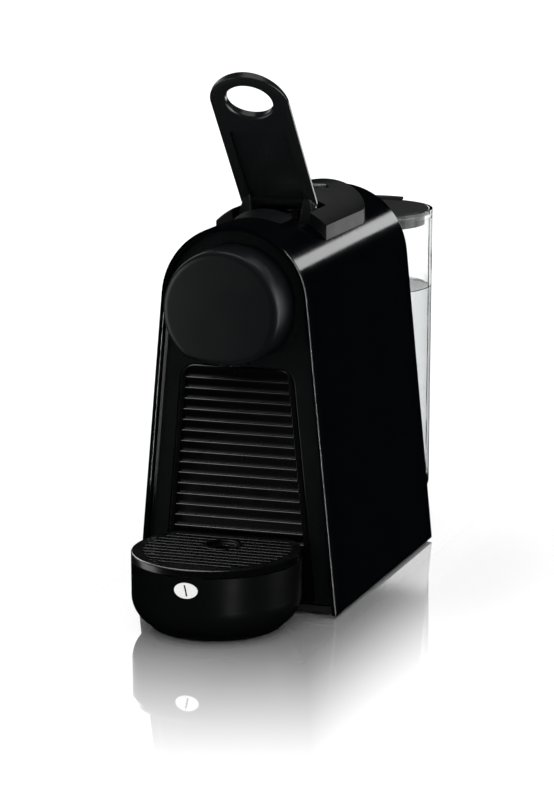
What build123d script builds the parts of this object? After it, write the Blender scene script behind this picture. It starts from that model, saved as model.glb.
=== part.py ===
from build123d import *
import os
from math import acos, asin, atan2, cos, degrees, hypot, radians, sin, sqrt

# Compact capsule coffee machine, drawn with its lever raised. Millimetres, +Z up, -Y to the cup side, +X to
# the right seen from there. The origin is on the table, under the centre of the machine's box.

# ---- driving dimensions ---------------------------------------------------------------------------
WIDTH = 110.0            # across the shell at the table
LENGTH = 325.0           # front of the tray's badge to the back of the water tank
SHELL_FRONT = -90.8      # front edge of the arch shell
SHELL_REAR = 81.2        # back edge of the arch shell
SHELL_BOTTOM = 1.5       # gap between shell and table
SHELL_WALL = 2.6
ARCH_R = 39.6            # round top of the shell
ARCH_Z = 161.4           # height of the arch's centre
PANEL_Y = SHELL_FRONT + 4.0      # face of the recessed front panel
PANEL_T = 2.2
SCREW_X, SCREW_Y = (-36.0, 36.0), (-66.0, 60.0)
SCREW_HEAD_R, SCREW_R = 3.4, 1.5
FOOT_R = 7.0
FEET = [(-42, -74), (42, -74), (-42, 70), (42, 70), (0, 148)]
GLAND_X, GLAND_Z = 43.6, 15.0    # the cord runs straight out beside the water tank
GLAND_NECK_R, GLAND_BORE_R = 5.4, 3.8

DRUM_R = 31.9            # round head, at the panel
DRUM_FACE_R = 30.7       # it narrows towards its slightly domed face
DRUM_CROWN, DRUM_ROUND = 1.0, 3.6
DRUM_ROOM_R = 29.1
DRUM_Z = 160.0
DRUM_FACE = -113.2       # front of the head
DRUM_CUT_Z = 132.5       # lowest point of the head, where a flatter arc cuts its circle
DRUM_CUT_R = 55.0
OUTLET_Y, OUTLET_Z, NOZZLE_X = -99.5, 132.0, 2.8

TRAY_R = 43.3            # drip tray, round in plan
BADGE_PROUD = 0.45
TRAY_Y = TRAY_R + BADGE_PROUD - LENGTH / 2
TRAY_TOP = 39.6
TRAY_SEAM = 35.3         # the grid's skirt ends here
TRAY_BACK = PANEL_Y - 0.5
TRAY_BASE_R = 34.9
TRAY_BOTTOM = 1.0
TRAY_KNEE = 18.0         # the wall is upright above this height
GRID_ROWS, GRID_PITCH, GRID_SLOT = 6, 5.4, 2.6
DRAIN_R, DRAIN_Y = 8.4, -109.3
BADGE_Z = 29.0

LOUVRE_COUNT = 16
LOUVRE_PITCH = 5.63
LOUVRE_TOP = 125.4       # underside of the highest rib
LOUVRE_HALF_TOP = 30.0   # half-width of the louvred front at that height
LOUVRE_RIB = 1.3         # ribs with round noses between the grooves
LOUVRE_NOSE = 0.5
LOUVRE_DEPTH = (0.9, 1.9)        # of a groove, at its top and at its bottom

DECK_HALF = 30.6         # raised deck on top of the shell
DECK_R = 45.1            # crown of the deck
DECK_FRONT = -33.8
DECK_REAR_Y = 27.0       # centre of its round rear end
DECK_WALL = 2.0
CHANNEL_HALF = 21.5      # channel in the deck for the lever's root
CHANNEL_REAR = -6.8

LIP_FRONT = -60.8        # crowned lip in front of the capsule slot
LIP_REAR = -40.8
LIP_HALF = 14.2
LIP_R = 30.0
LIP_Z_FRONT = 200.3
LIP_Z_REAR = 202.8
GUIDE_HALF = 20.8        # floor of the channel, with the capsule slot
GUIDE_TOP = 188.6
SLOT_REAR = -9.0

LEVER_RAISED = 52.0      # angle above the closed position
LEVER_CLOSE = 52.0       # travel from the raised position down to closed
LEVER_OPEN = 40.0        # travel from the raised position to fully open
HINGE_Y = -24.3
HINGE_Z = 193.5
LEVER_HALF = 21.1
LEVER_ROOT = 2.8         # distance of the lever's root from the hinge axis, along the lever
LEVER_TIP_U = 78.0       # centre of the oval tip, along the lever
LEVER_TIP = 17.7         # from that centre to the end
LEVER_UNDER = 7.7        # underside of the lever above the hinge axis, when closed
LEVER_T = 5.0            # at its thickest: the top side falls to the edges and to the tip
LEVER_CROWN_R = 90.0
LEVER_BOW_U, LEVER_BOW_R = 30.0, 990.0
LEVER_BEVEL = (2.4, 0.9)         # soft edge of the underside: width and height
FINGER_HALF = (12.6, 10.9)       # oval finger hole, across and along
FINGER_U = 78.9
FINGER_ROUND = 1.5
LINER_HALF = 15.5        # recessed panel in the underside
LINER_U = (7.8, 57.8)
LINER_DEPTH = 2.1
LINER_T = 1.0
LUG_X = (13.8, 20.6)     # cheeks that hold the hinge pins
LUG_TIP_X = (15.3, 17.9)
LUG_REACH = (5.0, 11.0)  # they narrow between these distances from the hinge
PIN_R = 1.75
CRANK_R = 20.0           # hinge axis to drive pin
CRANK_X = (22.0, 24.2)
CRANK_T = CRANK_X[1] - CRANK_X[0]
FORK_X = (24.9, 27.3)
DRIVE_PIN_X = 27.6
RUN = 0.05               # radial clearance of a pin that turns
DRIVE_SWING = radians((LEVER_CLOSE - LEVER_OPEN) / 2)    # the cranks hang evenly about the vertical
DRIVE_Y = HINGE_Y - CRANK_R * sin(DRIVE_SWING)
DRIVE_Z = HINGE_Z - CRANK_R * cos(DRIVE_SWING)
FORK_SLOT = 2 * PIN_R + 2.4      # the drive pins rise and fall in it

BREW_Z = DRUM_Z
CAGE_R = 20.0
CAGE_Y = (-9.5, 20.0)
PLATE_REAR = -29.7       # face of the extraction plate, lever raised
INLET_R = 3.0
SPOUT_Z = 147.5

BUTTON_R = 9.7
BUTTON_Y = {"espresso": 4.6, "lungo": 29.4}
BUTTON_GAP = 0.4
BUTTON_TRAVEL = 1.2
BOARD_Z = 190.5          # board under the buttons
STEM_BOTTOM = BOARD_Z + 5.2 + 0.3 + BUTTON_TRAVEL
SPRING_R, SPRING_WIRE = 4.2, 0.35

TANK_RIM_R = 40.4
TANK_BASE_R = 39.0
TANK_Y = LENGTH / 2 - TANK_RIM_R
TANK_RIM_Z = 181.4
TANK_BOTTOM = 18.3
TANK_WALL = 1.8
LID_R = 38.2
LID_TOP = 181.8
DOCK_R = 38.5
DOCK_TOP = 18.0
BASE_TOP = 5.0
SOCKET_R = 8.6           # in the dock, for the valve of the tank
VALVE_R = 6.4

BIN_HALF = 29.3          # capsule container
BIN_FRONT = PANEL_Y + 2.8
BIN_REAR = -10.0
BIN_BOTTOM = 6.0
BIN_TOP = 118.0
HOSE_R = 2.5
PUMP_Y, PUMP_Z = 20.0, 34.0
METER_XY = (18.0, 60.0)

PARTS = {}


def keep(node, *solids):
    """File one node: a single solid, or a group of separate solids."""
    PARTS[node] = solids[0] if len(solids) == 1 else Compound(children=list(solids))


# ---- plain shapes ---------------------------------------------------------------------------------
def block(x, y, z):
    """Box between the two values given for each axis."""
    centre = [(a + b) / 2 for a, b in (x, y, z)]
    return Pos(*centre) * Box(x[1] - x[0], y[1] - y[0], z[1] - z[0])


def rod_x(r, x0, x1, y, z):
    return Pos((x0 + x1) / 2, y, z) * Rot(0, 90, 0) * Cylinder(r, x1 - x0)


def rod_y(r, y0, y1, x, z):
    return Pos(x, (y0 + y1) / 2, z) * Rot(90, 0, 0) * Cylinder(r, y1 - y0)


def rod_z(r, z0, z1, x, y):
    return Pos(x, y, (z0 + z1) / 2) * Cylinder(r, z1 - z0)


def tube(make, r_out, r_in, a, b, *at):
    """Ring-shaped length of the rod that make() builds."""
    return make(r_out, a, b, *at) - make(r_in, a - 1, b + 1, *at)


def both_sides(solid):
    return [solid, mirror(solid, about=Plane.YZ)]


# ---- outlines -------------------------------------------------------------------------------------
# A side of the shell is the tangent from the table's edge of the shell to the arch.
SIDE_TILT = acos(ARCH_R / hypot(WIDTH / 2, ARCH_Z)) - atan2(ARCH_Z, WIDTH / 2)


def side_x(z, inset=0.0):
    """Half-width of the shell at a height on its straight side."""
    return (ARCH_R - inset - (z - ARCH_Z) * sin(SIDE_TILT)) / cos(SIDE_TILT)


def arch_solid(inset, y0, y1, z_low):
    """The shell's outline, moved inwards by inset, as a solid from y0 to y1."""
    r = ARCH_R - inset
    shoulder = Vector(r * cos(SIDE_TILT), y0, ARCH_Z + r * sin(SIDE_TILT))
    left = Vector(-shoulder.X, y0, shoulder.Z)
    foot = side_x(z_low, inset)
    edges = [
        Line((foot, y0, z_low), shoulder),
        ThreePointArc(shoulder, (0, y0, ARCH_Z + r), left),
        Line(left, (-foot, y0, z_low)),
        Line((-foot, y0, z_low), (foot, y0, z_low)),
    ]
    return extrude(make_face(edges), amount=y1 - y0, dir=(0, 1, 0))


def louvre_solid(grow, y0, y1, z_low):
    """Outline of the louvred front: sides parallel to the shell's, round upper corners."""
    top = LOUVRE_TOP + 2.2 + grow
    half_top = LOUVRE_HALF_TOP + grow
    half_low = half_top + (top - z_low) * sin(SIDE_TILT) / cos(SIDE_TILT)
    outline = Polyline((half_low, y0, z_low), (half_top, y0, top), (-half_top, y0, top),
                       (-half_low, y0, z_low), close=True)
    solid = extrude(make_face(outline), amount=y1 - y0, dir=(0, 1, 0))
    corners = [e for e in solid.edges().filter_by(Axis.Y) if e.center().Z > top - 1]
    return fillet(corners, 8 + grow)


# ---- housing --------------------------------------------------------------------------------------
def outer_shell():
    shell = arch_solid(0, SHELL_FRONT, SHELL_REAR, SHELL_BOTTOM)
    shell -= arch_solid(SHELL_WALL, SHELL_FRONT - 1, SHELL_REAR + 1, SHELL_BOTTOM - 1)
    slot = block((-LIP_HALF - 0.3, LIP_HALF + 0.3), (LIP_FRONT - 0.3, LIP_REAR), (185, 210))
    slot = fillet([e for e in slot.edges().filter_by(Axis.Z) if e.center().Y < LIP_FRONT + 1], 3)
    slot += block((-CHANNEL_HALF, CHANNEL_HALF), (LIP_REAR - 0.3, DECK_FRONT), (185, 210))
    under_deck = block((-27, 27), (DECK_FRONT - 0.1, DECK_REAR_Y + 11), (185, 210))
    shell -= slot + under_deck
    rims = [e for e in shell.edges() if abs(e.center().Y - SHELL_FRONT) < 0.01 and e.center().Z > 5]
    return fillet(rims, 0.7)


def in_opening(point):
    """True on the rim of the panel's opening for the louvred front, above its foot."""
    half = LOUVRE_HALF_TOP + 1 + (LOUVRE_TOP + 3 - point.Z) * sin(SIDE_TILT) / cos(SIDE_TILT)
    return abs(point.X) < half and 7 < point.Z < LOUVRE_TOP + 3


def front_panel():
    panel = arch_solid(SHELL_WALL, PANEL_Y, PANEL_Y + PANEL_T, 6.0)
    panel -= louvre_solid(0.4, PANEL_Y - 1, PANEL_Y + 9, 0.0)
    rims = [e for e in panel.edges() if abs(e.center().Y - PANEL_Y) < 0.01 and in_opening(e.center())]
    panel = fillet(rims, 0.4)
    panel -= rod_y(24, PANEL_Y - 1, PANEL_Y + 9, 0, DRUM_Z)
    return panel - block((-8, 8), (PANEL_Y - 1, PANEL_Y + 9), (129.4, 145))


def rear_panel():
    panel = arch_solid(SHELL_WALL, SHELL_REAR - 2.5, SHELL_REAR, BASE_TOP)
    panel -= block((-30, 30), (SHELL_REAR - 9, SHELL_REAR + 9), (0, 24))
    panel -= rod_y(GLAND_NECK_R, SHELL_REAR - 9, SHELL_REAR + 9, GLAND_X, GLAND_Z)
    for row in range(6):
        z = 120 + row * 7
        panel -= block((-16, 16), (SHELL_REAR - 9, SHELL_REAR + 9), (z, z + 2.4))
    return panel


def base_plate():
    """Floor of the shell, with a tongue that carries the tank's dock."""
    half = side_x(BASE_TOP, SHELL_WALL) - 0.2
    plate = block((-half, half), (PANEL_Y + 0.5, SHELL_REAR), (SHELL_BOTTOM, BASE_TOP))
    plate += block((-30, 30), (SHELL_REAR - 1, TANK_Y), (SHELL_BOTTOM, BASE_TOP))
    plate += rod_z(DOCK_R, SHELL_BOTTOM, BASE_TOP, 0, TANK_Y)
    for x in SCREW_X:
        for y in SCREW_Y:
            plate -= rod_z(SCREW_HEAD_R, 0, SHELL_BOTTOM + 1.4, x, y)
            plate -= rod_z(SCREW_R, 0, BASE_TOP + 1, x, y)
    return plate


def base_screws():
    """Countersunk from below, their heads flush in the base plate."""
    screws = []
    for x in SCREW_X:
        for y in SCREW_Y:
            head = rod_z(SCREW_HEAD_R, SHELL_BOTTOM + 0.2, SHELL_BOTTOM + 1.4, x, y)
            head -= rod_z(1.4, SHELL_BOTTOM, SHELL_BOTTOM + 0.9, x, y)
            screws.append(head + rod_z(SCREW_R, SHELL_BOTTOM + 1.4, BASE_TOP, x, y))
    return screws


def rubber_feet():
    feet = []
    for x, y in FEET:
        foot = rod_z(FOOT_R, 0, SHELL_BOTTOM, x, y)
        feet.append(fillet(foot.edges().group_by(Axis.Z)[0], 0.4))
    return feet


def tank_dock():
    """Round foot behind the shell that the tank stands on, with the socket for its valve."""
    dock = rod_z(DOCK_R, BASE_TOP, DOCK_TOP, 0, TANK_Y)
    dock = fillet(dock.edges().group_by(Axis.Z)[-1], 1.2)
    dock -= rod_z(DOCK_R - 3, BASE_TOP - 1, DOCK_TOP - 3, 0, TANK_Y)
    dock += rod_z(SOCKET_R + 2.5, BASE_TOP, DOCK_TOP, 0, TANK_Y)
    dock -= rod_z(SOCKET_R, 9.5, DOCK_TOP + 1, 0, TANK_Y)
    dock += rod_z(1.6, 9, 12.2, 0, TANK_Y)
    dock -= block((-30, 30), (TANK_Y - DOCK_R - 1, TANK_Y - 30), (BASE_TOP - 1, DOCK_TOP - 3))
    return dock


def dock_seal():
    return tube(rod_z, SOCKET_R, SOCKET_R - 1.0, 15.0, 17.2, 0, TANK_Y)


def deck_outline(inset, z0, z1):
    """Plan of the deck: straight sides and a half-round rear end."""
    half = DECK_HALF - inset
    plan = block((-half, half), (DECK_FRONT + inset, DECK_REAR_Y), (z0, z1))
    return plan + rod_z(half, z0, z1, 0, DECK_REAR_Y)


def crown(r):
    return rod_y(r, -120, 120, 0, ARCH_Z)


def top_deck():
    deck = deck_outline(0, 180, 215) & crown(DECK_R)
    deck = fillet([e for e in deck.edges() if e.center().Z > 190], 0.8)
    deck -= crown(ARCH_R)
    deck -= deck_outline(DECK_WALL, 170, 215) & crown(DECK_R - DECK_WALL)
    boss = block((24.7, DECK_HALF - 1), (HINGE_Y - 5, HINGE_Y + 5), (188.5, 203)) & crown(DECK_R - 1)
    boss -= block((26.7, DECK_HALF), (-60, 60), (180, 203)) & crown(ARCH_R)
    for side in both_sides(boss):
        deck += side
    deck -= block((-CHANNEL_HALF, CHANNEL_HALF), (DECK_FRONT - 1, CHANNEL_REAR), (170, 215))
    deck -= rod_x(PIN_R + RUN, -29, 29, HINGE_Y, HINGE_Z)
    for y in BUTTON_Y.values():
        deck -= rod_z(BUTTON_R + BUTTON_GAP, 170, 215, 0, y)
    return deck


def slot_lip():
    """Crowned ramp that guides a capsule into the slot; it rises to the rear."""
    rise = degrees(atan2(LIP_Z_REAR - LIP_Z_FRONT, LIP_REAR - LIP_FRONT))
    middle_y = (LIP_FRONT + LIP_REAR) / 2
    middle_z = (LIP_Z_FRONT + LIP_Z_REAR) / 2 - LIP_R
    barrel = Pos(0, middle_y, middle_z) * Rot(rise, 0, 0) * Rot(90, 0, 0) * Cylinder(LIP_R, 60)
    core = Pos(0, middle_y, middle_z) * Rot(rise, 0, 0) * Rot(90, 0, 0) * Cylinder(LIP_R - 2.2, 60)
    plan = block((-LIP_HALF, LIP_HALF), (LIP_FRONT, LIP_REAR), (188.6, 210))
    plan = fillet([e for e in plan.edges().filter_by(Axis.Z) if e.center().Y < LIP_FRONT + 1], 3)
    inside = block((-LIP_HALF + 2, LIP_HALF - 2), (LIP_FRONT + 3, LIP_REAR - 2), (180, 210))
    lip = plan & barrel
    lip = fillet([e for e in lip.edges() if e.center().Z > LIP_Z_FRONT - 6], 0.4)
    return lip - (inside & core)


def capsule_guide():
    """Floor of the lever channel, with the capsule-shaped slot and a short chute below it."""
    floor = block((-GUIDE_HALF, GUIDE_HALF), (LIP_REAR, CHANNEL_REAR), (GUIDE_TOP - 1.8, GUIDE_TOP))
    chute = block((-21, 21), (LIP_REAR, SLOT_REAR + 1.8), (180.5, GUIDE_TOP - 1.8))
    rim_slot = block((-19.4, 19.4), (LIP_REAR + 0.8, -34.2), (170, 210))
    body_slot = block((-15.6, 15.6), (-35, SLOT_REAR), (170, 210))
    return floor + chute - rim_slot - body_slot


def head_drum():
    """Round head, flattened at the bottom and open there where the coffee comes out."""
    rim = DRUM_FACE + DRUM_CROWN
    edges = [
        Line((0, PANEL_Y, 0), (0, DRUM_FACE, 0)),
        ThreePointArc((0, DRUM_FACE, 0), (DRUM_FACE_R / 2, DRUM_FACE + DRUM_CROWN / 4, 0), (DRUM_FACE_R, rim, 0)),
        Polyline((DRUM_FACE_R, rim, 0), (DRUM_R, PANEL_Y, 0), (0, PANEL_Y, 0)),
    ]
    drum = Pos(0, 0, DRUM_Z) * revolve(make_face(edges), Axis.Y, 360)
    drum &= rod_y(DRUM_CUT_R, DRUM_FACE - 1, PANEL_Y, 0, DRUM_CUT_Z + DRUM_CUT_R)
    drum = fillet([e for e in drum.edges() if e.center().Y < rim + 1], DRUM_ROUND)
    return drum - rod_y(DRUM_ROOM_R, DRUM_FACE + DRUM_ROUND, PANEL_Y + 1, 0, DRUM_Z)


def coffee_outlet():
    """Block under the coffee channel with its two small nozzles."""
    body = block((-7, 7), (OUTLET_Y - 3.8, OUTLET_Y + 5), (OUTLET_Z, 134.4))
    body = fillet(body.edges().filter_by(Axis.Z), 2.5)
    for x in (-NOZZLE_X, NOZZLE_X):
        body += rod_z(1.9, OUTLET_Z - 1.6, OUTLET_Z, x, OUTLET_Y)
        body -= rod_z(1.2, OUTLET_Z - 4, 136, x, OUTLET_Y)
    return body


def coffee_channel():
    """Open trough from the brew unit to the outlet."""
    trough = block((-7, 7), (OUTLET_Y - 3.8, -56), (134.4, 140.5))
    trough -= block((-5, 5), (OUTLET_Y - 2.4, -57.5), (135.8, 142))
    for x in (-NOZZLE_X, NOZZLE_X):
        trough -= rod_z(1.2, 130, 138, x, OUTLET_Y)
    return trough


def brew_frame():
    """Cradle of the brew unit: floor with the drop opening, two rails and a rear wall."""
    frame = block((-30.5, 30.5), (-54, 23), (136, 139))
    frame -= block((-20.5, 20.5), (-50, -10.5), (130, 142))
    for rail in both_sides(block((28, 30.5), (-54, 23), (139, 166))):
        frame += rail
    frame += block((-30.5, 30.5), (CAGE_Y[1], CAGE_Y[1] + 3), (139, 176))
    return frame - rod_y(INLET_R, CAGE_Y[1] - 1, CAGE_Y[1] + 4, 0, BREW_Z)


def capsule_cage():
    """Fixed cup that takes the capsule when the lever is closed."""
    cage = rod_y(CAGE_R, CAGE_Y[0], CAGE_Y[1], 0, BREW_Z)
    cage -= rod_y(15.6, CAGE_Y[0] - 1, CAGE_Y[1] - 2.2, 0, BREW_Z)
    return cage - rod_y(INLET_R, CAGE_Y[1] - 3, CAGE_Y[1] + 1, 0, BREW_Z)


def piercing_blades():
    blades = []
    for turn in range(3):
        angle = radians(90 + 120 * turn)
        x, z = 7 * cos(angle), BREW_Z + 7 * sin(angle)
        tip = Pos(x, CAGE_Y[1] - 5.2, z) * Rot(90, 0, 0) * Cone(1.6, 0.2, 6)
        blades.append(tip)
    return blades


def thermoblock():
    """Cast heater with cooling ribs on its rear."""
    body = block((-24, 24), (26, 50), (118, 174))
    for rib in range(7):
        x = -21 + rib * 7
        body += block((x - 1.2, x + 1.2), (50, 56), (122, 170))
    return body


def pump():
    """Vibration pump: coil block with a plastic snout at each end."""
    body = block((-19, 19), (PUMP_Y - 18, PUMP_Y + 18), (PUMP_Z - 18, PUMP_Z + 18))
    body = fillet(body.edges().filter_by(Axis.X), 5)
    body += rod_x(8, -30, 30, PUMP_Y, PUMP_Z)
    return body + rod_x(3.5, -34, 34, PUMP_Y, PUMP_Z)


def pump_mounts():
    """Rubber rings that carry the pump in its brackets."""
    return both_sides(tube(rod_x, 12, 8, 22, 27, PUMP_Y, PUMP_Z))


def pump_brackets():
    bracket = block((22, 27), (PUMP_Y - 15, PUMP_Y + 15), (BASE_TOP, PUMP_Z + 15))
    return both_sides(bracket - rod_x(12, 20, 30, PUMP_Y, PUMP_Z))


def flow_meter():
    body = rod_z(12, 13, 27, *METER_XY)
    return body + rod_x(3, METER_XY[0] - 16, METER_XY[0] + 16, METER_XY[1], 20)


def control_board():
    return block((36, 37.6), (-2, 68), (64, 116))


def board_parts():
    """Relay, capacitor and transformer on the control board."""
    relay = block((24, 36), (4, 22), (92, 110))
    transformer = block((20, 36), (34, 60), (84, 108))
    return [relay, transformer, rod_x(6, 22, 36, 14, 76)]


def hose(points, radii):
    """Tube along straight runs joined by arcs."""
    path = FilletPolyline(*points, radius=radii)
    section = Plane(origin=path @ 0, z_dir=path % 0) * Circle(HOSE_R)
    return sweep(section, path=path)


def suction_hose():
    """From the dock's socket to the flow meter's inlet."""
    x, y = METER_XY
    return hose([(0, TANK_Y - SOCKET_R - 2.5, 11), (0, 79, 11), (-10, y + 8, 18), (-10, y, 20),
                 (x - 16, y, 20)], [14, 8, 4])


def transfer_hose():
    """From the flow meter to the pump's inlet."""
    x, y = METER_XY
    return hose([(x + 16, y, 20), (x + 24, y, 20), (x + 24, PUMP_Y, PUMP_Z), (34, PUMP_Y, PUMP_Z)],
                [7, 7])


def pressure_hose():
    """From the pump's outlet up to the heater."""
    return hose([(-34, PUMP_Y, PUMP_Z), (-42, PUMP_Y, PUMP_Z), (-40, 28, 88), (-14, 38, 98), (-14, 38, 118)],
                [7, 20, 9])


def inlet_pipe():
    """Short hot-water pipe from the heater through the frame to the cage."""
    return tube(rod_y, INLET_R, 1.5, CAGE_Y[1] - 2.2, 26, 0, BREW_Z)


def button_board():
    """Board under the deck that carries the two button switches."""
    board = block((-12, 12), (-5, 42), (BOARD_Z, BOARD_Z + 1.6))
    return board


def button_switches():
    return [block((-2.4, 2.4), (y - 2.4, y + 2.4), (BOARD_Z + 1.6, BOARD_Z + 5.2)) for y in BUTTON_Y.values()]


def cord_gland():
    """Inlet for the mains cord in the lower rear corner."""
    gland = rod_y(GLAND_NECK_R, SHELL_REAR - 5, SHELL_REAR, GLAND_X, GLAND_Z)
    gland += rod_y(GLAND_NECK_R + 1.6, SHELL_REAR, SHELL_REAR + 2.2, GLAND_X, GLAND_Z)
    return gland - rod_y(GLAND_BORE_R, SHELL_REAR - 9, SHELL_REAR + 9, GLAND_X, GLAND_Z)


# ---- lever ----------------------------------------------------------------------------------------
def raise_lever(solid):
    """Turn a lever part from the closed position, where it is drawn, to the raised position."""
    axis = Axis((0, HINGE_Y, HINGE_Z), (1, 0, 0))
    return solid.rotate(axis, -LEVER_RAISED)


def along(u):
    """Y of a point at distance u from the hinge along the closed lever."""
    return HINGE_Y - u


def lever_arm():
    low, high = HINGE_Z + LEVER_UNDER, HINGE_Z + LEVER_UNDER + LEVER_T
    arm = block((-LEVER_HALF, LEVER_HALF), (along(LEVER_TIP_U), along(LEVER_ROOT)), (low, high + 2))
    arm = fillet([e for e in arm.edges().filter_by(Axis.Z) if e.center().Y > along(LEVER_ROOT) - 1], 3)
    arm += Pos(0, along(LEVER_TIP_U), low) * extrude(Ellipse(LEVER_HALF, LEVER_TIP), amount=LEVER_T + 2)
    arm &= rod_y(LEVER_CROWN_R, -200, 100, 0, high - LEVER_CROWN_R)
    arm &= rod_x(LEVER_BOW_R, -60, 60, along(LEVER_BOW_U), high - LEVER_BOW_R)
    under = arm.faces().sort_by(Axis.Z)[0]
    arm = chamfer(under.edges(), *LEVER_BEVEL, reference=under)
    arm = fillet(arm.edges().group_by(Axis.Z)[0], 3)
    arm = fillet([e for e in arm.edges() if abs(e.center().Z - low - LEVER_BEVEL[1]) < 0.01], 0.4)
    hole = Pos(0, along(FINGER_U), low - 5) * extrude(Ellipse(*FINGER_HALF), amount=20)
    arm -= hole
    arm = fillet([e for e in arm.edges().group_by(Axis.Z)[0] if e.center().Y < along(LINER_U[1])], FINGER_ROUND)
    arm -= block((-LINER_HALF, LINER_HALF), (along(LINER_U[1]), along(LINER_U[0])),
                 (low - 1, low + LINER_DEPTH + LINER_T))
    for lug in both_sides(lever_lug()):
        arm += lug
    arm -= rod_x(PIN_R, -30, 30, HINGE_Y, HINGE_Z)
    return raise_lever(arm)


def lever_lug():
    """Cheek under the lever's root that holds the hinge pin; it narrows to a point along the lever."""
    x0, x1 = LUG_X
    full, tip = (along(u) for u in LUG_REACH)
    top = HINGE_Z + LEVER_UNDER + 1
    side = Polyline((x0, HINGE_Y + 3.2, HINGE_Z + 1.6), (x0, along(LEVER_ROOT), top),
                    (x0, tip, top), (x0, HINGE_Y - 3.4, HINGE_Z - 0.8), close=True)
    web = extrude(make_face(side), amount=x1 - x0, dir=(1, 0, 0))
    plan = Polyline((x0, HINGE_Y + 5), (x1, HINGE_Y + 5), (x1, full), (LUG_TIP_X[1], tip),
                    (LUG_TIP_X[0], tip), (x0, full), close=True)
    web &= Pos(0, 0, HINGE_Z - 9) * extrude(make_face(plan), amount=30)
    return web + rod_x(3.6, x0, x1, HINGE_Y, HINGE_Z)


def lever_liner():
    """Thin panel in the recess of the lever's underside."""
    low = HINGE_Z + LEVER_UNDER + LINER_DEPTH
    liner = block((-LINER_HALF, LINER_HALF), (along(LINER_U[1]), along(LINER_U[0])), (low, low + LINER_T))
    return raise_lever(liner)


def lever_pins():
    return [raise_lever(pin) for pin in both_sides(rod_x(PIN_R, LUG_X[0], 28.4, HINGE_Y, HINGE_Z))]


def crank(side):
    """Arm on the end of a lever pin; its drive pin moves the brew carriage."""
    x0, x1 = CRANK_X
    y, z = DRIVE_Y, DRIVE_Z
    arm = rod_x(3, x0, x1, HINGE_Y, HINGE_Z) + rod_x(3, x0, x1, y, z)
    reach = hypot(y - HINGE_Y, z - HINGE_Z)
    tilt = degrees(asin((y - HINGE_Y) / reach))
    bar = Pos((x0 + x1) / 2, (y + HINGE_Y) / 2, (z + HINGE_Z) / 2) * Rot(tilt, 0, 0) * Box(CRANK_T, 5, reach)
    arm = arm + bar + rod_x(PIN_R, x1, DRIVE_PIN_X, y, z)
    arm -= rod_x(PIN_R, x0 - 1, x1 + 1, HINGE_Y, HINGE_Z)
    return arm if side > 0 else mirror(arm, about=Plane.YZ)


# ---- brew carriage --------------------------------------------------------------------------------
def brew_carriage():
    """Sliding frame: front plate and two forked side plates that the drive pins move."""
    y1 = PLATE_REAR - 1.5
    y0 = y1 - 4
    frame = rod_y(18.5, y0, y1, 0, BREW_Z)
    frame += block((-FORK_X[1], FORK_X[1]), (y0, y1), (152, 168))
    fork = block(FORK_X, (y0, DRIVE_Y + 7), (152, 168))
    fork += block(FORK_X, (DRIVE_Y - 7, DRIVE_Y + 7), (152, 183.5))
    fork -= block((FORK_X[0] - 1, FORK_X[1] + 1), (DRIVE_Y - FORK_SLOT / 2, DRIVE_Y + FORK_SLOT / 2), (170, 190))
    for side in both_sides(fork):
        frame += side
    return frame - rod_y(2, y0 - 1, y1 + 1, 0, SPOUT_Z)


def extraction_plate():
    """Metal plate with a field of small pyramids that opens the capsule."""
    plate = rod_y(16.5, PLATE_REAR - 1.5, PLATE_REAR, 0, BREW_Z)
    for row in range(-2, 3):
        for column in range(-2, 3):
            stud = Pos(column * 4.4, PLATE_REAR - 0.1, BREW_Z + row * 4.4) * Rot(-90, 0, 0)
            plate += stud * extrude(Rectangle(2.2, 2.2), amount=0.9, taper=35)
    return plate


def coffee_spout_tube():
    y1 = PLATE_REAR - 5.5
    return tube(rod_y, 3.6, 2.0, y1 - 40, y1, 0, SPOUT_Z)


# ---- buttons --------------------------------------------------------------------------------------
def coffee_button(y):
    cap = rod_z(BUTTON_R, 202.4, 212, 0, y) & crown(DECK_R + 0.3)
    cap = fillet([e for e in cap.edges() if e.center().Z > 204.5], 0.5)
    return cap + rod_z(3, STEM_BOTTOM, 202.4, 0, y)


def button_spring(y):
    """Coil between the board and the cap, outside the stem."""
    height = 202.4 - (BOARD_Z + 1.6) - SPRING_WIRE * 2
    coil = Helix(pitch=height / 4, height=height, radius=SPRING_R)
    section = Plane(origin=coil @ 0, z_dir=coil % 0) * Circle(SPRING_WIRE)
    return Pos(0, y, BOARD_Z + 1.6 + SPRING_WIRE) * sweep(section, path=coil, is_frenet=True)


# ---- water tank -----------------------------------------------------------------------------------
def tank_r(z, wall=0.0):
    share = (z - TANK_BOTTOM) / (TANK_RIM_Z - TANK_BOTTOM)
    return TANK_BASE_R + (TANK_RIM_R - TANK_BASE_R) * share - wall


def tank_cone(z0, z1, wall):
    r0, r1 = tank_r(z0, wall), tank_r(z1, wall)
    return Pos(0, TANK_Y, (z0 + z1) / 2) * Cone(r0, r1, z1 - z0)


def water_tank():
    vessel = tank_cone(TANK_BOTTOM, TANK_RIM_Z, 0)
    vessel = fillet(vessel.edges().group_by(Axis.Z)[0], 4)
    room = tank_cone(TANK_BOTTOM + 2.4, TANK_RIM_Z + 5, TANK_WALL)
    room = fillet(room.edges().group_by(Axis.Z)[0], 3)
    vessel -= room
    ledge = tank_cone(176.6, 179.0, 1) - rod_z(36.4, 170, 185, 0, TANK_Y)
    vessel += ledge
    return vessel - rod_z(VALVE_R, TANK_BOTTOM - 1, TANK_BOTTOM + 4, 0, TANK_Y)


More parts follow.
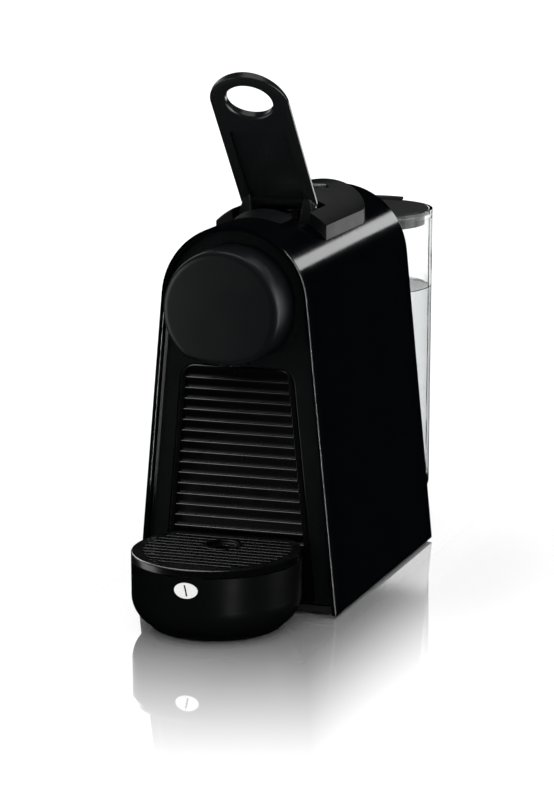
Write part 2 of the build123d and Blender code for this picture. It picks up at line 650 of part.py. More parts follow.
def valve_housing():
    """Valve in the tank's floor; its neck enters the dock's socket."""
    housing = rod_z(VALVE_R, 13.4, TANK_BOTTOM + 2.4, 0, TANK_Y)
    housing += rod_z(VALVE_R + 3, TANK_BOTTOM + 2.4, TANK_BOTTOM + 4.4, 0, TANK_Y)
    housing += rod_z(VALVE_R, TANK_BOTTOM + 4.4, 31, 0, TANK_Y)
    housing -= rod_z(3, 10, 40, 0, TANK_Y)
    return housing - rod_z(VALVE_R - 1.6, 17, 29.4, 0, TANK_Y)


def valve_plunger():
    """Stem and disc that close the tank when it is lifted off."""
    return rod_z(2.4, 12.8, 28.9, 0, TANK_Y) + rod_z(4.4, 17.2, 19, 0, TANK_Y)


def valve_spring():
    height = 29.2 - 19.2 - 2 * 0.4
    coil = Helix(pitch=height / 4, height=height, radius=3.6)
    section = Plane(origin=coil @ 0, z_dir=coil % 0) * Circle(0.4)
    return Pos(0, TANK_Y, 19.2 + 0.4) * sweep(section, path=coil, is_frenet=True)


def tank_lid():
    lid = rod_z(LID_R, LID_TOP - 2.6, LID_TOP, 0, TANK_Y)
    lid = fillet(lid.edges().group_by(Axis.Z)[-1], 0.8)
    lid += tube(rod_z, 35.9, 34.3, 173, LID_TOP - 2.6, 0, TANK_Y)
    tab = block((-13, 13), (TANK_Y + LID_R - 4, LENGTH / 2 - 0.1), (LID_TOP, LID_TOP + 1.6))
    root = block((-13, 13), (TANK_Y + LID_R - 4, TANK_Y + LID_R), (LID_TOP - 1, LID_TOP))
    lid += root & rod_z(LID_R - 0.8, 150, 200, 0, TANK_Y)
    return lid + (tab & rod_z(TANK_RIM_R, 150, 200, 0, TANK_Y))


# ---- capsule container and drip tray --------------------------------------------------------------
def louvre_groove(edge):
    """Section of the groove under the rib at a height: it is deeper at its bottom, with rounded lips."""
    r = LOUVRE_NOSE
    foot = edge - LOUVRE_PITCH + LOUVRE_RIB
    mouth, bend = PANEL_Y - 0.1, PANEL_Y + r
    slant = r * sin(radians(45))
    edges = [
        Line((0, mouth, edge + r), (0, PANEL_Y, edge + r)),
        ThreePointArc((0, PANEL_Y, edge + r), (0, bend - slant, edge + r - slant), (0, bend, edge)),
        Line((0, bend, edge), (0, PANEL_Y + LOUVRE_DEPTH[0], edge)),
        Line((0, PANEL_Y + LOUVRE_DEPTH[0], edge), (0, PANEL_Y + LOUVRE_DEPTH[1], foot)),
        Line((0, PANEL_Y + LOUVRE_DEPTH[1], foot), (0, bend, foot)),
        ThreePointArc((0, bend, foot), (0, bend - slant, foot - r + slant), (0, PANEL_Y, foot - r)),
        Line((0, PANEL_Y, foot - r), (0, mouth, foot - r)),
        Line((0, mouth, foot - r), (0, mouth, edge + r)),
    ]
    return make_face(edges)


def louvre_front():
    """Front of the capsule container: a plate with horizontal ribs."""
    plate = louvre_solid(0, PANEL_Y, BIN_FRONT, SHELL_BOTTOM + 4.5)
    plate = fillet(plate.edges().group_by(Axis.Y)[0], 0.6)
    for row in range(LOUVRE_COUNT):
        length = 2 * (LOUVRE_HALF_TOP - 2.2 + row * LOUVRE_PITCH * sin(SIDE_TILT))
        groove = extrude(louvre_groove(LOUVRE_TOP - row * LOUVRE_PITCH), amount=length, dir=(1, 0, 0))
        plate -= Pos(-length / 2, 0, 0) * groove
    return plate


def capsule_container():
    """Open bin behind the louvred front."""
    bin_ = block((-BIN_HALF, BIN_HALF), (BIN_FRONT, BIN_REAR), (BIN_BOTTOM, BIN_TOP))
    bin_ = fillet([e for e in bin_.edges().filter_by(Axis.Z) if e.center().Y > BIN_REAR - 1], 6)
    room = block((-BIN_HALF + 2, BIN_HALF - 2), (BIN_FRONT + 2, BIN_REAR - 2), (BIN_BOTTOM + 2, BIN_TOP + 1))
    return bin_ - fillet(room.edges().filter_by(Axis.Z), 4)


def container_grate():
    """Raised floor in the container that lets drips through."""
    grate = block((-BIN_HALF + 2.3, BIN_HALF - 2.3), (BIN_FRONT + 8, BIN_REAR - 8), (16, 18))
    for leg in both_sides(block((20, 22), (BIN_FRONT + 8, BIN_REAR - 8), (BIN_BOTTOM + 2, 16))):
        grate += leg
    for slot in range(5):
        y = BIN_FRONT + 16 + slot * 9.5
        grate -= block((-18, 18), (y, y + 3), (10, 20))
    return grate


def tray_profile(inset, floor, top):
    """Half section of the tray: straight wall that turns in to a smaller base."""
    r, base = TRAY_R - inset, TRAY_BASE_R - inset
    edges = [
        Line((0, 0, floor), (base - 1.4, 0, floor)),
        Line((base - 1.4, 0, floor), (base, 0, floor + 2.0)),
        ThreePointArc((base, 0, floor + 2.0), (r - 2.0, 0, floor + 2.0 + (TRAY_KNEE - floor - 2.0) * 0.42),
                      (r, 0, TRAY_KNEE)),
        Line((r, 0, TRAY_KNEE), (r, 0, top)),
        Line((r, 0, top), (0, 0, top)),
        Line((0, 0, top), (0, 0, floor)),
    ]
    return Pos(0, TRAY_Y, 0) * revolve(make_face(edges), Axis.Z, 360)


def drip_tray():
    tray = tray_profile(0, TRAY_BOTTOM, TRAY_SEAM)
    tray -= block((-60, 60), (TRAY_BACK, 0), (0, 60))
    room = tray_profile(2.2, TRAY_BOTTOM + 2.4, TRAY_SEAM + 3)
    room -= block((-60, 60), (TRAY_BACK - 2.2, 0), (0, 60))
    return tray - room


def drip_grid():
    """Round grating with a skirt; the drain dish sits in its middle."""
    grid = rod_z(TRAY_R, TRAY_SEAM + 0.3, TRAY_TOP, 0, TRAY_Y)
    grid = fillet(grid.edges().group_by(Axis.Z)[-1], 0.9)
    grid -= block((-60, 60), (TRAY_BACK, 0), (0, 60))
    hollow = rod_z(TRAY_R - 2.4, 30, TRAY_TOP - 2.4, 0, TRAY_Y)
    hollow -= block((-60, 60), (TRAY_BACK - 2.4, 0), (0, 60))
    hollow -= rod_z(DRAIN_R + 2, 30, 60, 0, DRAIN_Y)
    grid -= hollow
    reach = TRAY_R - 5.5
    for row in range(-GRID_ROWS, GRID_ROWS + 1):
        y = row * GRID_PITCH
        if TRAY_Y + y > TRAY_BACK - 6:
            continue
        half = sqrt(reach ** 2 - y ** 2)
        slot = block((-half, half), (TRAY_Y + y - GRID_SLOT / 2, TRAY_Y + y + GRID_SLOT / 2), (30, 45))
        grid -= slot - rod_z(DRAIN_R + 2, 29, 46, 0, DRAIN_Y)
    grid -= rod_z(DRAIN_R, TRAY_TOP - 1.4, TRAY_TOP + 1, 0, DRAIN_Y)
    return grid - rod_z(4, 30, 45, 0, DRAIN_Y)


def tray_badge():
    """Small oval badge with a bean groove, following the tray's round front."""
    skin = tube(rod_z, TRAY_R + BADGE_PROUD, TRAY_R, BADGE_Z - 8, BADGE_Z + 8, 0, TRAY_Y)
    face = Plane(origin=(0, TRAY_Y - TRAY_R + 6, BADGE_Z), x_dir=(1, 0, 0), z_dir=(0, -1, 0))
    oval = extrude(face * Ellipse(6.2, 4.0), amount=10)
    oval -= extrude(face * Rot(0, 0, 12) * Rectangle(0.9, 5.8), amount=10)
    return skin & oval


# ---- assembly -------------------------------------------------------------------------------------
keep("outer_shell", outer_shell())
keep("front_panel", front_panel())
keep("rear_panel", rear_panel())
keep("base_plate", base_plate())
keep("base_screws", *base_screws())
keep("rubber_feet", *rubber_feet())
keep("tank_dock", tank_dock())
keep("dock_seal", dock_seal())
keep("top_deck", top_deck())
keep("slot_lip", slot_lip())
keep("capsule_guide", capsule_guide())
keep("head_drum", head_drum())
keep("coffee_outlet", coffee_outlet())
keep("coffee_channel", coffee_channel())
keep("brew_frame", brew_frame())
keep("capsule_cage", capsule_cage())
keep("cage_seal", tube(rod_y, CAGE_R, 17, CAGE_Y[0] - 1.5, CAGE_Y[0], 0, BREW_Z))
keep("piercing_blades", *piercing_blades())
keep("thermoblock", thermoblock())
keep("thermostat", rod_x(7, 24, 28, 38, 150))
keep("inlet_pipe", inlet_pipe())
keep("pump", pump())
keep("pump_mounts", *pump_mounts())
keep("pump_brackets", *pump_brackets())
keep("flow_meter", flow_meter())
keep("control_board", control_board())
keep("board_parts", *board_parts())
keep("suction_hose", suction_hose())
keep("transfer_hose", transfer_hose())
keep("pressure_hose", pressure_hose())
keep("button_board", button_board())
keep("button_switches", *button_switches())
keep("cord_gland", cord_gland())
keep("lever_arm", lever_arm())
keep("lever_liner", lever_liner())
keep("lever_pins", *lever_pins())
keep("right_crank", crank(1))
keep("left_crank", crank(-1))
keep("brew_carriage", brew_carriage())
keep("extraction_plate", extraction_plate())
keep("coffee_spout_tube", coffee_spout_tube())
for name, y in BUTTON_Y.items():
    keep(name + "_button", coffee_button(y))
    keep(name + "_spring", button_spring(y))
keep("water_tank", water_tank())
keep("valve_housing", valve_housing())
keep("valve_plunger", valve_plunger())
keep("valve_spring", valve_spring())
keep("tank_lid", tank_lid())
keep("louvre_front", louvre_front())
keep("capsule_container", capsule_container())
keep("container_grate", container_grate())
keep("drip_tray", drip_tray())
keep("drip_grid", drip_grid())
keep("tray_badge", tray_badge())

os.makedirs("parts", exist_ok=True)
for node, shape in PARTS.items():
    export_step(shape, f"parts/{node}.step")
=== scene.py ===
from math import cos, pi, radians, sin

import bmesh
import bpy
from mathutils import Matrix, Vector

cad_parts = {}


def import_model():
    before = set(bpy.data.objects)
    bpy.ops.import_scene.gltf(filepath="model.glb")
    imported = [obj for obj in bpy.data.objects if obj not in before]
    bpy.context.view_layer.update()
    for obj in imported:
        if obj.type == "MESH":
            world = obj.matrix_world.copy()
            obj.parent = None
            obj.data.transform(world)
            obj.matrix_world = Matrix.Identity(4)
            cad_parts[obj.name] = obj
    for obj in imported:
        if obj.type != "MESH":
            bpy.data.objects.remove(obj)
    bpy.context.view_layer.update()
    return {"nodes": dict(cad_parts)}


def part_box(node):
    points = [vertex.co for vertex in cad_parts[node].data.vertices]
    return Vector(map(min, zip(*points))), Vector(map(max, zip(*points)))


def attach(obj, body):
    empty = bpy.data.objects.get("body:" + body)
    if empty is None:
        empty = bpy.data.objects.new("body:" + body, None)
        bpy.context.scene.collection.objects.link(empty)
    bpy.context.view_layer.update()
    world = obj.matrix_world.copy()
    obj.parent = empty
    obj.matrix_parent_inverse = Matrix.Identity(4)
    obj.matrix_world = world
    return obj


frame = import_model()
NODES = frame["nodes"]
MM = 0.001


# ---- node helpers ---------------------------------------------------------------------------------
class Shader:
    """A material with its Principled BSDF, and short calls for the nodes that feed it."""

    def __init__(self, name):
        self.material = bpy.data.materials.new(name)
        self.material.use_nodes = True
        self.tree = self.material.node_tree
        self.nodes = self.tree.nodes
        self.bsdf = self.nodes["Principled BSDF"]
        self.output = self.nodes["Material Output"]
        self.place = self.add("ShaderNodeTexCoord").outputs["Object"]

    def add(self, kind, **values):
        node = self.nodes.new(kind)
        for key, value in values.items():
            setattr(node, key, value)
        return node

    def link(self, a, b):
        self.tree.links.new(a, b)

    def set(self, **sockets):
        for name, value in sockets.items():
            self.bsdf.inputs[name.replace("_", " ")].default_value = value

    def noise(self, scale, detail=3.0, roughness=0.55, stretch=(1, 1, 1), distortion=0.0):
        """Noise with its scale in features per metre."""
        mapping = self.add("ShaderNodeMapping")
        mapping.inputs["Scale"].default_value = stretch
        self.link(self.place, mapping.inputs["Vector"])
        node = self.add("ShaderNodeTexNoise")
        node.inputs["Scale"].default_value = scale
        node.inputs["Detail"].default_value = detail
        node.inputs["Roughness"].default_value = roughness
        node.inputs["Distortion"].default_value = distortion
        self.link(mapping.outputs["Vector"], node.inputs["Vector"])
        return node.outputs["Fac"]

    def ramp(self, value, low, high, at=(0.3, 0.7)):
        """Maps a 0 to 1 value onto low to high between the two places."""
        node = self.add("ShaderNodeMapRange")
        node.inputs["From Min"].default_value = at[0]
        node.inputs["From Max"].default_value = at[1]
        node.inputs["To Min"].default_value = low
        node.inputs["To Max"].default_value = high
        self.link(value, node.inputs["Value"])
        return node.outputs["Result"]

    def colours(self, value, low, high):
        node = self.add("ShaderNodeMix", data_type="RGBA")
        node.inputs["A"].default_value = (*low, 1)
        node.inputs["B"].default_value = (*high, 1)
        self.link(value, node.inputs["Factor"])
        return node.outputs["Result"]

    def maths(self, operation, a, b):
        node = self.add("ShaderNodeMath", operation=operation)
        for socket, value in zip(node.inputs, (a, b)):
            if isinstance(value, (int, float)):
                socket.default_value = value
            else:
                self.link(value, socket)
        return node.outputs["Value"]

    def rounded(self, radius):
        """Normals rounded over the edges by a radius in millimetres."""
        node = self.add("ShaderNodeBevel", samples=6)
        node.inputs["Radius"].default_value = radius * MM
        return node

    def bump(self, height, distance, strength=1.0, under=None):
        node = self.add("ShaderNodeBump")
        node.inputs["Distance"].default_value = distance
        node.inputs["Strength"].default_value = strength
        self.link(height, node.inputs["Height"])
        if under:
            self.link(under.outputs["Normal"], node.inputs["Normal"])
        self.link(node.outputs["Normal"], self.bsdf.inputs["Normal"])
        return node


# ---- materials ------------------------------------------------------------------------------------
def moulded(name, colour, rough, grain=0.0, spread=0.06, worn=0.4, spec=0.5, edge=0.25, wave=0.00001):
    """Moulded plastic: fine spark-eroded grain, faint flow marks, and smudges where it is handled."""
    s = Shader(name)
    flow = s.noise(22, 2.0, stretch=(1, 1, 0.35))
    smudge = s.noise(75, 4.0, 0.6, distortion=0.4)
    lifted = tuple(c * (1 + worn) for c in colour)
    s.link(s.colours(flow, colour, lifted), s.bsdf.inputs["Base Color"])
    s.link(s.ramp(smudge, rough, rough + spread), s.bsdf.inputs["Roughness"])
    s.set(Specular_IOR_Level=spec)
    under = s.bump(s.noise(60, 1.0), wave, under=s.rounded(edge) if edge else None)
    if grain:
        s.bump(s.noise(2600, 2.0, 0.7), grain * MM, under=under)
    return s.material


def clear_plastic():
    s = Shader("clear_tank_plastic")
    smudge = s.noise(40, 4.0, 0.6)
    s.link(s.colours(smudge, (0.96, 0.975, 0.975), (0.99, 0.995, 0.995)), s.bsdf.inputs["Base Color"])
    s.link(s.ramp(smudge, 0.015, 0.05), s.bsdf.inputs["Roughness"])
    s.set(Transmission_Weight=1.0, IOR=1.49)
    s.bump(s.noise(35, 1.0), 0.00003)
    return s.material


def water():
    s = Shader("drinking_water")
    s.set(Base_Color=(0.66, 0.67, 0.67, 1), Transmission_Weight=1.0, IOR=1.33, Roughness=0.0)
    s.bump(s.noise(30, 1.0), 0.00002)
    return s.material


def metal(name, colour, rough, brushed=0.0, stretch=(1, 14, 14)):
    s = Shader(name)
    lines = s.noise(900, 3.0, 0.6, stretch)
    stain = s.noise(60, 4.0, 0.6)
    s.link(s.colours(stain, tuple(c * 0.82 for c in colour), colour), s.bsdf.inputs["Base Color"])
    s.link(s.ramp(lines, rough, rough + 0.12), s.bsdf.inputs["Roughness"])
    s.set(Metallic=1.0)
    s.bump(lines, brushed * MM if brushed else 0.000004)
    return s.material


def cast_metal():
    s = Shader("cast_aluminium")
    sand = s.noise(1500, 4.0, 0.7)
    stain = s.noise(45, 4.0, 0.6)
    s.link(s.colours(stain, (0.36, 0.36, 0.37), (0.55, 0.55, 0.56)), s.bsdf.inputs["Base Color"])
    s.link(s.ramp(sand, 0.42, 0.6), s.bsdf.inputs["Roughness"])
    s.set(Metallic=1.0)
    s.bump(sand, 0.00008)
    return s.material


def rubber(name, colour, rough=0.62):
    s = Shader(name)
    dust = s.noise(160, 5.0, 0.7)
    s.link(s.colours(s.ramp(dust, 0.0, 1.0, (0.45, 0.75)), colour, tuple(c * 1.6 + 0.01 for c in colour)),
           s.bsdf.inputs["Base Color"])
    s.link(s.ramp(dust, rough - 0.06, rough + 0.1), s.bsdf.inputs["Roughness"])
    s.bump(s.noise(2200, 2.0, 0.7), 0.00005)
    return s.material


def circuit_board():
    """Dark green solder mask over faint copper tracks."""
    s = Shader("circuit_board")
    tracks = s.add("ShaderNodeTexBrick")
    tracks.inputs["Scale"].default_value = 110
    tracks.inputs["Mortar Size"].default_value = 0.03
    s.link(s.place, tracks.inputs["Vector"])
    mask, copper = (0.001, 0.006, 0.003), (0.003, 0.014, 0.007)
    s.link(s.colours(tracks.outputs["Fac"], mask, copper), s.bsdf.inputs["Base Color"])
    s.link(s.ramp(s.noise(300), 0.3, 0.42), s.bsdf.inputs["Roughness"])
    s.bump(tracks.outputs["Fac"], 0.00003)
    return s.material


def printed_mark():
    """Pale mark printed on a button."""
    s = Shader("button_mark")
    glow = s.noise(500, 2.0)
    s.link(s.colours(glow, (0.20, 0.25, 0.23), (0.32, 0.38, 0.35)), s.bsdf.inputs["Base Color"])
    s.link(s.ramp(glow, 0.3, 0.4), s.bsdf.inputs["Roughness"])
    s.bump(s.noise(1500), 0.00001)
    return s.material


GLOSS = moulded("gloss_black_shell", (0.0004, 0.0008, 0.0012), 0.075, spread=0.03, edge=0.6)
PANEL = moulded("panel_black", (0.0022, 0.0032, 0.0032), 0.2, grain=0.004, edge=0.3)
LOUVRE = moulded("louvre_black", (0.0006, 0.0008, 0.0008), 0.22, grain=0.003, edge=0.3)
HEAD = moulded("head_satin", (0.0020, 0.0028, 0.0034), 0.34, grain=0.006, edge=0.3)
TRAY = moulded("tray_satin", (0.0014, 0.0018, 0.0020), 0.32, grain=0.006, edge=0.3)
GRID = moulded("grid_satin", (0.0010, 0.0012, 0.0012), 0.22, grain=0.002, edge=0.5, wave=0.000002)
DECK = moulded("deck_satin", (0.0016, 0.0019, 0.0020), 0.28, grain=0.006, edge=0.3)
LEVER = moulded("lever_satin", (0.0044, 0.0050, 0.0052), 0.22, grain=0.004, edge=0.3)
INNER = moulded("inner_matt_black", (0.006, 0.0062, 0.0064), 0.5, grain=0.01)
LIP = moulded("lip_grey", (0.0075, 0.0085, 0.009), 0.3, grain=0.004, edge=0.5)
BUTTON = moulded("button_satin", (0.0018, 0.0022, 0.0022), 0.24, grain=0.004)
LID = moulded("lid_satin", (0.010, 0.0105, 0.0108), 0.38, grain=0.004)
WHITE = moulded("engineering_white", (0.55, 0.55, 0.52), 0.42, grain=0.02, worn=0.1)
DARK = moulded("component_black", (0.02, 0.02, 0.022), 0.4, grain=0.015)
RUBBER = rubber("black_rubber", (0.012, 0.012, 0.012))
SILICONE = rubber("silicone_hose", (0.5, 0.5, 0.47), 0.4)
STEEL = metal("stainless_steel", (0.62, 0.62, 0.63), 0.22, 0.01)
CAST = cast_metal()
BADGE = moulded("badge_white_enamel", (0.72, 0.72, 0.70), 0.25, worn=0.05, edge=0.1)
BOARD = circuit_board()
CLEAR = clear_plastic()
WATER = water()
MARK = printed_mark()

FINISHES = {
    GLOSS: ["outer_shell"],
    PANEL: ["front_panel"],
    LOUVRE: ["louvre_front"],
    TRAY: ["drip_tray"],
    DECK: ["top_deck"],
    HEAD: ["head_drum"],
    GRID: ["drip_grid"],
    LEVER: ["lever_arm", "lever_liner"],
    INNER: ["rear_panel", "base_plate", "tank_dock", "capsule_guide", "coffee_outlet", "coffee_channel",
            "capsule_container", "container_grate", "cord_gland"],
    LIP: ["slot_lip"],
    BUTTON: ["espresso_button", "lungo_button"],
    LID: ["tank_lid"],
    WHITE: ["brew_frame", "brew_carriage", "valve_housing", "valve_plunger", "flow_meter", "pump",
            "coffee_spout_tube"],
    DARK: ["board_parts", "button_switches"],
    RUBBER: ["rubber_feet", "dock_seal", "cage_seal", "pump_mounts"],
    SILICONE: ["suction_hose", "transfer_hose", "pressure_hose"],
    STEEL: ["base_screws", "piercing_blades", "thermostat", "inlet_pipe", "pump_brackets", "lever_pins",
            "right_crank", "left_crank", "extraction_plate", "espresso_spring", "lungo_spring",
            "valve_spring"],
    CAST: ["thermoblock", "capsule_cage"],
    BADGE: ["tray_badge"],
    BOARD: ["control_board", "button_board"],
    CLEAR: ["water_tank"],
}
for finish, names in FINISHES.items():
    for name in names:
        NODES[name].data.materials.clear()
        NODES[name].data.materials.append(finish)

SHARP_CORNER = radians(32)
for node in NODES.values():
    sharp = node.modifiers.new("sharp_corners", "EDGE_SPLIT")
    sharp.split_angle = SHARP_CORNER
    flat = node.modifiers.new("flat_faces", "WEIGHTED_NORMAL")
    flat.weight = 100
    flat.keep_sharp = True


# ---- pieces ---------------------------------------------------------------------------------------
WATER_LEVEL = 0.731                    # share of the tank's height


def piece(name, mesh, material, body):
    obj = bpy.data.objects.new(name, mesh)
    bpy.context.scene.collection.objects.link(obj)
    mesh.materials.append(material)
    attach(obj, body)
    return obj


def mesh_from(name, build):
    """A mesh made by build(bm), with its normals outwards and shaded smooth up to 35 degrees."""
    bm = bmesh.new()
    build(bm)
    bmesh.ops.recalc_face_normals(bm, faces=bm.faces)
    for edge in bm.edges:
        edge.smooth = edge.calc_face_angle(0) < radians(35)
    for face in bm.faces:
        face.smooth = True
    mesh = bpy.data.meshes.new(name)
    bm.to_mesh(mesh)
    bm.free()
    return mesh


def turned(profile, centre, steps=96):
    """Closed solid of revolution about a vertical axis; profile is (radius, height) from bottom to top."""
    def build(bm):
        rings = []
        for r, z in profile:
            if r == 0:
                rings.append([bm.verts.new((centre.x, centre.y, z))])
                continue
            turn = [2 * pi * i / steps for i in range(steps)]
            rings.append([bm.verts.new((centre.x + r * cos(a), centre.y + r * sin(a), z)) for a in turn])
        for low, high in zip(rings, rings[1:]):
            for i in range(steps):
                j = (i + 1) % steps
                corners = [low[i % len(low)], low[j % len(low)], high[j % len(high)], high[i % len(high)]]
                bm.faces.new(list(dict.fromkeys(corners)))
    return build


def water_fill():
    """The water: it fills the tank to nearly three quarters, with a raised meniscus at the wall."""
    low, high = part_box("water_tank")
    centre = (low + high) / 2
    wall, into_wall, taper = 1.8 * MM, 0.1 * MM, 1.4 * MM
    bend, meniscus, climb = 3.0 * MM, 2.2 * MM, 0.9 * MM
    floor = low.z + 2.4 * MM
    rim_r = (high.x - low.x) / 2
    base_r = rim_r - taper
    level = low.z + WATER_LEVEL * (high.z - low.z)

    def inner(z):
        share = (z - low.z) / (high.z - low.z)
        return base_r + (rim_r - base_r) * share - wall + into_wall

    profile = [(0, floor)]
    for i in range(7):
        a = radians(90 * i / 6)
        profile.append((inner(floor + bend) - bend + bend * sin(a), floor + bend - bend * cos(a)))
    profile.append((inner(level), level))
    for step in range(1, 6):
        t = step / 5
        profile.append((inner(level) - meniscus * t, level - climb * (1 - (1 - t) ** 2)))
    profile.append((0, level - climb))
    mesh = mesh_from("water_fill", turned(profile, centre))
    return piece("water_fill", mesh, WATER, "tank")


def cup_mark(name, button, body, size, fill):
    """Outline of a cup laid on a button, upright to someone in front of the machine; fill is how full it is,
    as a share."""
    low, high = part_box(button)
    centre = (low + high) / 2 + Vector((3.6 * MM, 0, 0))
    ink, sunk = 0.06 * MM, 0.30 * MM
    outline = [(-0.50, 0.42), (-0.50, -0.10), (-0.28, -0.42), (0.28, -0.42), (0.50, -0.10), (0.50, 0.42)]
    width = 0.13

    def stroke(bm, points):
        lift = high.z + 0.02 * MM
        for a, b in zip(points, points[1:]):
            along = (Vector(b) - Vector(a)).normalized()
            start, end = Vector(a) - along * width / 2, Vector(b) + along * width / 2
            side = Vector((-along.y, along.x)) * width / 2
            ring = [start + side, end + side, end - side, start - side]
            flat = [Vector((centre.x + size * p.x, centre.y + size * p.y, 0)) for p in ring]
            tops = [bm.verts.new((p.x, p.y, lift + ink)) for p in flat]
            feet = [bm.verts.new((p.x, p.y, lift - sunk)) for p in flat]
            bm.faces.new(tops)
            bm.faces.new(feet[::-1])
            for i in range(4):
                j = (i + 1) % 4
                bm.faces.new((tops[i], feet[i], feet[j], tops[j]))

    def build(bm):
        stroke(bm, outline)
        stroke(bm, [(0.50, 0.30), (0.74, 0.22), (0.74, -0.02), (0.46, -0.12)])
        level = -0.42 + 0.84 * fill
        stroke(bm, [(-0.44, level), (0.44, level)])

    return piece(name, mesh_from(name, build), MARK, body)


water_fill()
cup_mark("small_cup_mark", "espresso_button", "espresso_key", 4.6 * MM, 0.35)
cup_mark("large_cup_mark", "lungo_button", "lungo_key", 6.4 * MM, 0.70)


# ---- studio ---------------------------------------------------------------------------------------
BLACK_LIGHT = 0.003
SOFT_LIGHT = 1.38
STUDIO_CENTRE = Vector((0, 0, 0.11))
SIDE_MIRRORS = (19.5, -11.75)          # azimuth and elevation that faces towards +X mirror to the camera
FOOT_HALF = Vector((0.052, 0.150))
FRONT = Vector((0.333, -0.943))        # direction on the floor in which the mirror image runs out
FRONT_EDGE = 0.150                     # distance of the machine's foot along it
SIDE_SLOPE, SIDE_EDGE = 2.83, 0.165    # the same for the edge of the image on the right
MIRROR_FADE = (-0.02, 0.25, 0.80, 0.0)  # distances from and to, share of mirror at each


def world():
    """White to the camera and through the tank, soft white for diffuse light, nearly black in reflections."""
    sky = bpy.data.worlds.new("studio")
    bpy.context.scene.world = sky
    sky.use_nodes = True
    sky.cycles.sampling_method = "NONE"
    tree = sky.node_tree
    path = tree.nodes.new("ShaderNodeLightPath")
    level = BLACK_LIGHT
    for ray, light in (("Is Diffuse Ray", SOFT_LIGHT), ("Is Transmission Ray", 1.0), ("Is Camera Ray", 1.0)):
        scaled = tree.nodes.new("ShaderNodeMath")
        scaled.operation = "MULTIPLY"
        tree.links.new(path.outputs[ray], scaled.inputs[0])
        scaled.inputs[1].default_value = light
        highest = tree.nodes.new("ShaderNodeMath")
        highest.operation = "MAXIMUM"
        tree.links.new(scaled.outputs[0], highest.inputs[0])
        if isinstance(level, float):
            highest.inputs[1].default_value = level
        else:
            tree.links.new(level, highest.inputs[1])
        level = highest.outputs[0]
    background = tree.nodes["Background"]
    background.inputs["Color"].default_value = (1, 1, 1, 1)
    tree.links.new(level, background.inputs["Strength"])


def softbox(name, azimuth, elevation, distance, width, height, radiance, only, rays="gloss"):
    """Light in a direction seen from the object; azimuth is from +Y towards +X. It lights only the objects
    given; rays says whether it makes reflections, diffuse light or both."""
    a, e = radians(azimuth), radians(elevation)
    away = Vector((sin(a) * cos(e), cos(a) * cos(e), sin(e)))
    light = bpy.data.lights.new(name, "AREA")
    light.shape = "RECTANGLE"
    light.size, light.size_y = width, height
    light.energy = radiance * pi * width * height
    if rays == "gloss" and ground not in only:
        light.cycles.max_bounces = 0
    obj = bpy.data.objects.new(name, light)
    obj.location = STUDIO_CENTRE + away * distance
    obj.rotation_euler = away.to_track_quat("Z", "Y").to_euler()
    obj.visible_camera = False
    obj.visible_transmission = False
    obj.visible_diffuse = rays != "gloss"
    obj.visible_glossy = rays != "diffuse"
    bpy.context.scene.collection.objects.link(obj)
    receivers = bpy.data.collections.new(name + "_receivers")
    for receiver in only:
        receivers.objects.link(receiver)
    obj.light_linking.receiver_collection = receivers


def floor():
    """Polished white floor: its mirror image of the object fades out away from the foot, sooner to the front
    and right."""
    reach = 6.0
    mesh = bpy.data.meshes.new("floor")
    corners = [(-reach, -reach, 0), (reach, -reach, 0), (reach, reach, 0), (-reach, reach, 0)]
    mesh.from_pydata(corners, [], [(0, 1, 2, 3)])
    obj = bpy.data.objects.new("floor", mesh)
    bpy.context.scene.collection.objects.link(obj)
    s = Shader("pale_floor")
    s.set(Base_Color=(0.9, 0.9, 0.9, 1), Roughness=0.6, Specular_IOR_Level=0.0)
    gloss = s.add("ShaderNodeBsdfGlossy")
    gloss.inputs["Color"].default_value = (1, 1, 1, 1)
    gloss.inputs["Roughness"].default_value = 0.03
    part = s.add("ShaderNodeSeparateXYZ")
    s.link(s.place, part.inputs[0])
    apart = []
    for axis, half in (("X", FOOT_HALF.x), ("Y", FOOT_HALF.y)):
        over = s.maths("SUBTRACT", s.maths("ABSOLUTE", part.outputs[axis], 0.0), half)
        over = s.maths("MAXIMUM", over, 0.0)
        apart.append(s.maths("MULTIPLY", over, over))
    distance = s.maths("SQRT", s.maths("ADD", *apart), 0.0)
    ahead = s.maths("ADD", s.maths("MULTIPLY", part.outputs["X"], FRONT.x),
                    s.maths("MULTIPLY", part.outputs["Y"], FRONT.y))
    across = s.maths("SUBTRACT", s.maths("MULTIPLY", part.outputs["X"], -FRONT.y),
                     s.maths("MULTIPLY", part.outputs["Y"], -FRONT.x))
    beside = s.maths("ADD", ahead, s.maths("MULTIPLY", across, SIDE_SLOPE))
    distance = s.maths("MAXIMUM", distance, s.maths("SUBTRACT", ahead, FRONT_EDGE))
    distance = s.maths("MAXIMUM", distance, s.maths("SUBTRACT", beside, SIDE_EDGE))
    fade = s.add("ShaderNodeMapRange", interpolation_type="SMOOTHSTEP")
    s.link(distance, fade.inputs["Value"])
    for socket, value in zip(fade.inputs[1:5], MIRROR_FADE):
        socket.default_value = value
    mix = s.add("ShaderNodeMixShader")
    s.link(fade.outputs["Result"], mix.inputs["Fac"])
    s.link(s.bsdf.outputs["BSDF"], mix.inputs[1])
    s.link(gloss.outputs["BSDF"], mix.inputs[2])
    s.link(mix.outputs["Shader"], s.output.inputs["Surface"])
    mesh.materials.append(s.material)
    obj.visible_glossy = False
    obj.visible_shadow = False
    return obj


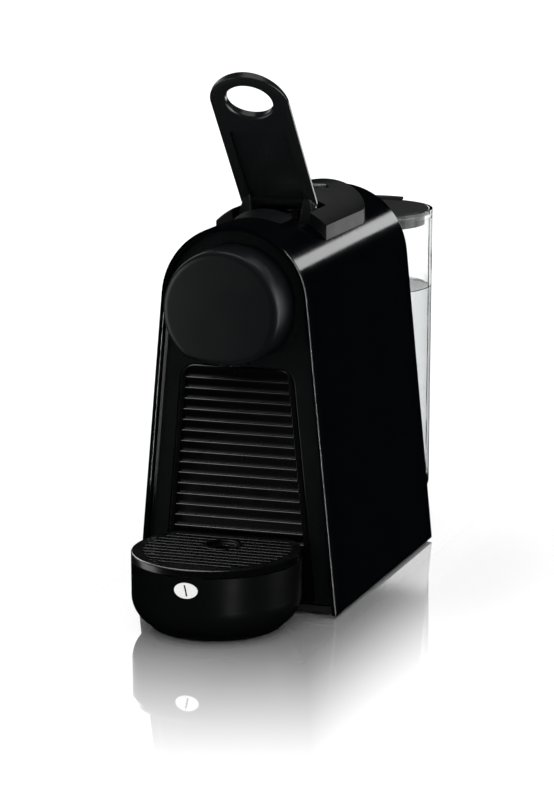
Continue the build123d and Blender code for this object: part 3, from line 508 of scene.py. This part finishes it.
def camera():
    """Eye level a little above the machine, to the right of its front."""
    aim = Vector((0.0231, -0.0908, 0.1126))
    yaw, pitch, roll = 0.3398, 0.2050, -0.0048
    distance = 1.4963
    back = Vector((sin(yaw) * cos(pitch), -cos(yaw) * cos(pitch), sin(pitch)))
    right = Vector((0, 0, 1)).cross(back).normalized()
    up = back.cross(right)
    side = right * cos(roll) + up * sin(roll)
    top = up * cos(roll) - right * sin(roll)
    data = bpy.data.cameras.new("camera")
    data.lens = 132.57
    data.sensor_width = 36.0
    data.clip_start, data.clip_end = 0.05, 30
    obj = bpy.data.objects.new("camera", data)
    place = Matrix((side, top, back)).transposed().to_4x4()
    place.translation = aim + back * distance
    obj.matrix_world = place
    bpy.context.scene.collection.objects.link(obj)
    bpy.context.scene.camera = obj


bpy.context.scene.view_settings.view_transform = "Standard"
world()
ground = floor()
shell = [NODES["outer_shell"]]
ribbed = [NODES["louvre_front"], NODES["drip_grid"]]
head = [NODES["head_drum"]]
tray = [NODES["drip_tray"]]
lever = [NODES["lever_arm"]]
deck = [NODES["top_deck"]]
plain = [node for node in NODES.values() if node not in shell + ribbed]
plain_but_deck = [node for node in plain if node not in deck]
plain_but_tray = [node for node in plain if node not in tray]
for wall in range(6):
    softbox(f"wall_in_floor_{wall}", -20 + 60 * wall, 0, 3.0, 3.46, 9.0, 1.05, only=[ground])
softbox("ceiling_in_floor", 0, 90, 4.5, 6.0, 6.0, 1.05, only=[ground])
softbox("strip_behind_right", 18, 13.8, 3.0, 0.8, 0.26, 2.5, only=shell)
softbox("side_strip", 157, 0, 3.0, 0.2, 3.6, 70.0, only=shell)
softbox("side_panel", 80, 0, 3.0, 2.2, 3.0, 0.5, only=shell)
softbox("rear", 5, 40, 2.5, 1.6, 0.8, 1.0, only=plain)
softbox("rib_light", -122, 62, 1.5, 1.6, 1.6, 5.5, only=ribbed)
softbox("grid_rim", -60, 25, 2.0, 1.2, 1.0, 6.0, only=[NODES["drip_grid"]])
softbox("tray_front", 141, -8, 2.2, 0.3, 0.9, 1.6, only=tray)
softbox("rib_edges", -100, -8, 2.2, 1.2, 1.8, 2.0, only=ribbed)
softbox("lever_edge", *SIDE_MIRRORS, 2.0, 0.8, 0.8, 3.0, only=lever)
softbox("cheek_glow", *SIDE_MIRRORS, 2.0, 0.8, 0.8, 0.9, only=deck)
softbox("corner_light", 110, 5, 1.5, 1.6, 1.6, 5.0, only=lever + [NODES["slot_lip"]])
softbox("rib_front", -159, 26, 1.5, 1.2, 0.5, 4.0, only=[NODES["louvre_front"]])
softbox("head_side", 48, -3, 2.0, 1.1, 1.4, 1.3, only=head)
softbox("head_band", 75, 30, 1.5, 2.0, 2.0, 4.0, only=head, rays="diffuse")
softbox("screen_behind_left", -45, 22, 3.0, 1.2, 1.2, 0.9, only=plain_but_deck, rays="both")
softbox("overhead", 0, 80, 2.4, 1.6, 1.2, 1.2, only=plain, rays="both")
softbox("front_left", -120, 0, 2.2, 2.0, 2.0, 1.3, only=plain_but_tray)
softbox("front_right", 75, 10, 2.2, 0.8, 1.6, 1.0, only=plain)
camera()
